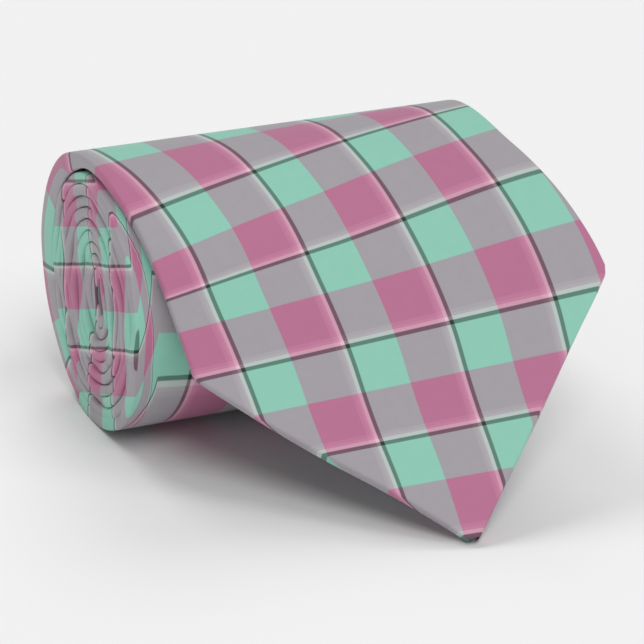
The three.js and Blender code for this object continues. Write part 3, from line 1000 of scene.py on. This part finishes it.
def back_patch(name, from_point, length, width, middle, depth, thickness, columns):
    """A flat band across the back of the tie."""
    start = FREE_LENGTH - from_point - length
    along = stations(start, start + length)
    across = np.full(along.shape, middle)
    x = spread_over(across - width / 2, across + width / 2, columns)
    outer = np.stack([x, np.full(x.shape, depth)], -1)
    inner = np.stack([x, np.full(x.shape, depth + thickness)], -1)

    def printed(loop, where):
        run = np.broadcast_to(along[:, None], loop.shape[:2])
        return np.stack([loop[..., 0] / PERIOD, run / PERIOD], -1)

    return thick_strip(name, along, outer, inner, printed)


KEEPER_FROM_POINT = 205.0
KEEPER_LENGTH = 11.0
KEEPER_SPAN = 60.0
KEEPER_CLOTH = 0.3
LABEL_FROM_POINT = 232.0
LABEL_LENGTH = 16.0
LABEL_WIDTH = 30.0
LABEL_FROM_LAP = 5.5
LABEL_CLOTH = 0.2
LAP_OUTER = BACK_OUTER + TUCK_CLEAR + SHELL
keeper_middle = float(full_width(KEEPER_FROM_POINT)) / 2
keeper = back_patch(
    "keeper_band", KEEPER_FROM_POINT, KEEPER_LENGTH, KEEPER_SPAN, keeper_middle,
    LAP_OUTER + CLEAR, KEEPER_CLOTH, 14)
dress(keeper, cloth_look, "printed_cloth", ROLL, "keeper_loop")
label_right = (float(full_width(LABEL_FROM_POINT)) - SEAM_OVERLAP) / 2 - LABEL_FROM_LAP
care_label = back_patch(
    "blank_label", LABEL_FROM_POINT, LABEL_LENGTH, LABEL_WIDTH,
    label_right - LABEL_WIDTH / 2, BACK_OUTER + CLEAR, LABEL_CLOTH, 10)
dress(care_label, label_look, "label", ROLL, "care_label")


# ---- stitches and tacks ------------------------------------------------------------
STITCH_EVERY = 7.0
STITCH_LENGTH = 5.2
STITCH_RADIUS = 0.16
TACK_WIDTH = 7.0
TACK_RADIUS = 0.17


def seam_stitches(start, end):
    """Slip stitches along the back seam, each a short slanting thread that dips
    under the lapping panel's edge at both ends."""
    lines = []
    at = start + 1
    while at + STITCH_LENGTH < end:
        along = np.linspace(at, at + STITCH_LENGTH, 7)
        from_point = FREE_LENGTH - along
        left, right = edges(from_point)
        half_open, _ = parting(from_point)
        edge = (left + right) / 2 + half_open
        share = np.linspace(0, 1, 7)
        x = edge - 0.25 - 0.35 * np.sin(math.pi * share)
        depth = BACK_OUTER + back_drop(along) + TUCK_CLEAR + 0.12 * np.sin(math.pi * share)
        lines.append(np.stack([x, depth, along], -1))
        at += STITCH_EVERY
    return lines


def bar_tack(left, depth, at):
    """A bar of thread across the seam's end, wrapped by close turns."""
    x = np.linspace(left, left + TACK_WIDTH, 9)
    bars = [
        np.stack([x, np.full(9, depth), np.full(9, at + step)], -1) for step in (0.35, 1.05)
    ]
    across = np.linspace(0.1, 1.3, 5)
    for wrap in np.linspace(left + 0.4, left + TACK_WIDTH - 0.4, 13):
        bars.append(np.stack([np.full(5, wrap), np.full(5, depth), at + across], -1))
    return bars


def keeper_tack(x, at, length, depth_from, depth_to):
    """Small stitches that hold one end of the keeper to the back."""
    lines = []
    for place_at in np.linspace(at + 1.5, at + length - 1.5, 5):
        depth = np.linspace(depth_from, depth_to, 5)
        lines.append(np.stack([np.full(5, x), depth, np.full(5, place_at)], -1))
    return lines


BLADE_TACK_AT = FREE_LENGTH - BLADE_OPENING - 4
TAIL_TACK_AT = TAIL_TO + TAIL_OPENING + 4
free_seam = thread_runs("seam_stitches", seam_stitches(SPLIT, BLADE_TACK_AT - 1.4), STITCH_RADIUS)
dress(free_seam, thread_look, "thread", BOTH, "slip_stitch_free")
rolled_seam = thread_runs(
    "seam_stitches_rolled", seam_stitches(TAIL_TACK_AT + 2.8, SPLIT), STITCH_RADIUS)
dress(rolled_seam, thread_look, "thread", ROLL, "slip_stitch_rolled")

tack_depth = LAP_OUTER + float(back_drop(BLADE_TACK_AT)) + CLEAR
blade_tack = thread_runs(
    "blade_tack", bar_tack((BLADE_WIDTH - TACK_WIDTH) / 2, tack_depth, BLADE_TACK_AT), TACK_RADIUS)
dress(blade_tack, thread_look, "thread", BLADE, "blade_bar_tack")
tail_middle = float(full_width(TIE_LENGTH - TAIL_OPENING)) / 2
tail_tack_left = tail_middle - SEAM_OVERLAP / 2 - CLEAR - TACK_WIDTH
tail_tack = thread_runs(
    "tail_tack", bar_tack(tail_tack_left, BACK_OUTER + TUCK_CLEAR, TAIL_TACK_AT), TACK_RADIUS)
dress(tail_tack, thread_look, "thread", ROLL, "tail_bar_tack")

keeper_at = FREE_LENGTH - KEEPER_FROM_POINT - KEEPER_LENGTH
for side, name, node in ((-1, "keeper_stitches_left", "keeper_tack_left"),
                         (1, "keeper_stitches_right", "keeper_tack_right")):
    lines = keeper_tack(
        keeper_middle + side * (KEEPER_SPAN / 2 + 0.5), keeper_at, KEEPER_LENGTH,
        BACK_OUTER + CLEAR, LAP_OUTER + CLEAR + KEEPER_CLOTH)
    stitches = thread_runs(name, lines, 0.25)
    dress(stitches, thread_look, "thread", ROLL, node)


# ---- the sheets, by the flat size and area each was cut to ------------------------
def cut(start, end, width_at):
    along = np.linspace(start, end, 300)
    width = width_at(along)
    length = (end - start) * MM
    return {
        "flat": (float(width.max()) * MM, length),
        "area": float(width.mean()) * MM * length,
        "held": "folded",
    }


def opened_out(along):
    """The width of the folded cloth opened out flat."""
    path, _ = shell_path(along, 9, 5)
    return np.linalg.norm(np.diff(path, axis=1), axis=-1).sum(axis=1)


def inside_width(inset):
    def width_at(along):
        left, right = edges(FREE_LENGTH - along)
        return np.maximum(right - left - 2 * inset, 0.5)
    return width_at


TAIL_FROM = NECK_TO - PIECE_GAP
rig.sheet(blade_cloth, rests_on=["floor"], **cut(SPLIT, FREE_LENGTH, opened_out))
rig.sheet(blade_rolled, **cut(BLADE_END, SPLIT, opened_out))
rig.sheet(neck_cloth, **cut(NECK_TO, NECK_FROM, opened_out))
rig.sheet(tail_cloth, **cut(TAIL_TO, TAIL_FROM, opened_out))
lining_width = inside_width(LINING_INSET)
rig.sheet(free_lining, **cut(SPLIT, FREE_LENGTH - LINING_FROM_POINT, lining_width))
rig.sheet(rolled_lining, **cut(TAIL_TO + TAIL_TIPPING_TOP, SPLIT, lining_width))
tipping_width = inside_width(TIPPING_INSET)
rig.sheet(blade_tipping, **cut(FREE_LENGTH - TIPPING_TOP, FREE_LENGTH - TIPPING_END, tipping_width))
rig.sheet(tail_tipping, **cut(TAIL_TO + TIPPING_END, TAIL_TO + TAIL_TIPPING_TOP, tipping_width))
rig.sheet(keeper, flat=(KEEPER_SPAN * MM, KEEPER_LENGTH * MM), held="laid")
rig.sheet(care_label, flat=(LABEL_WIDTH * MM, LABEL_LENGTH * MM), held="laid")


# =============================== stage, light, end =================================
def rough_floor():
    nodes = Nodes("floor")
    place_at = nodes.add("ShaderNodeTexCoord").outputs["Object"]
    grain = nodes.add("ShaderNodeTexNoise", {"Vector": place_at, "Scale": 1.5, "Detail": 2.0})
    stops = [(0.3, (0.80, 0.80, 0.80)), (0.7, (0.806, 0.806, 0.806))]
    pale = nodes.colours(grain.outputs[0], stops)
    return nodes.finish(pale, Roughness=0.9, Specular_IOR_Level=0.0)


FLOOR_REACH = 9000.0   # millimetres from the middle to each side
floor_corners = [
    (x * FLOOR_REACH, y * FLOOR_REACH, 0) for x, y in ((-1, -1), (1, -1), (1, 1), (-1, 1))
]
floor = add_mesh("floor", floor_corners, [[0, 1, 2, 3]])
floor.data.materials.append(rough_floor())
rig.stage(floor)

SKY = 0.26
world = bpy.data.worlds.new("studio")
world.use_nodes = True
world.node_tree.nodes["Background"].inputs["Color"].default_value = (1, 1, 1, 1)
world.node_tree.nodes["Background"].inputs["Strength"].default_value = SKY
bpy.context.scene.world = world


def soft_sun(name, strength, spread, azimuth, elevation, lit):
    """A soft light from far away: azimuth 0 is behind the object, 90 its right."""
    lamp = bpy.data.lights.new(name, "SUN")
    lamp.energy = strength
    lamp.angle = math.radians(spread)
    made = bpy.data.objects.new(name, lamp)
    a, e = math.radians(azimuth), math.radians(elevation)
    towards = Vector((math.sin(a) * math.cos(e), math.cos(a) * math.cos(e), math.sin(e)))
    made.rotation_mode = "QUATERNION"
    made.rotation_quaternion = towards.to_track_quat("Z", "Y")
    bpy.context.scene.collection.objects.link(made)
    made.light_linking.receiver_collection = lit


def lit_group(name, members):
    group = bpy.data.collections.new(name)
    for member in members:
        group.objects.link(member)
    return group


floor_group = lit_group("lit_floor", [floor])
tie_group = lit_group("lit_tie", [
    o for o in bpy.context.scene.objects if o.type == "MESH" and o is not floor
])
LIGHTS = (  # strength, spread, azimuth and elevation in degrees, what is lit
    ("floor_back_left", 0.86, 26, -18, 48, floor_group),
    ("floor_back_right", 0.91, 26, 20, 42, floor_group),
    ("floor_right", 0.5, 26, 120, 65, floor_group),
    ("floor_front", 1.16, 32, 180, 54, floor_group),
    ("tie_front", 1.66, 120, 180, 48, tie_group),
    ("tie_back", 0.94, 110, 20, 55, tie_group),
)
for light in LIGHTS:
    soft_sun(*light)
bpy.context.scene.view_settings.view_transform = "Standard"

visual_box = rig.bounds()
with open("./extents.json", "w") as out:
    json.dump({
        "cad": [list(corner) for corner in cad_box],
        "visual": [list(corner) for corner in visual_box],
    }, out)
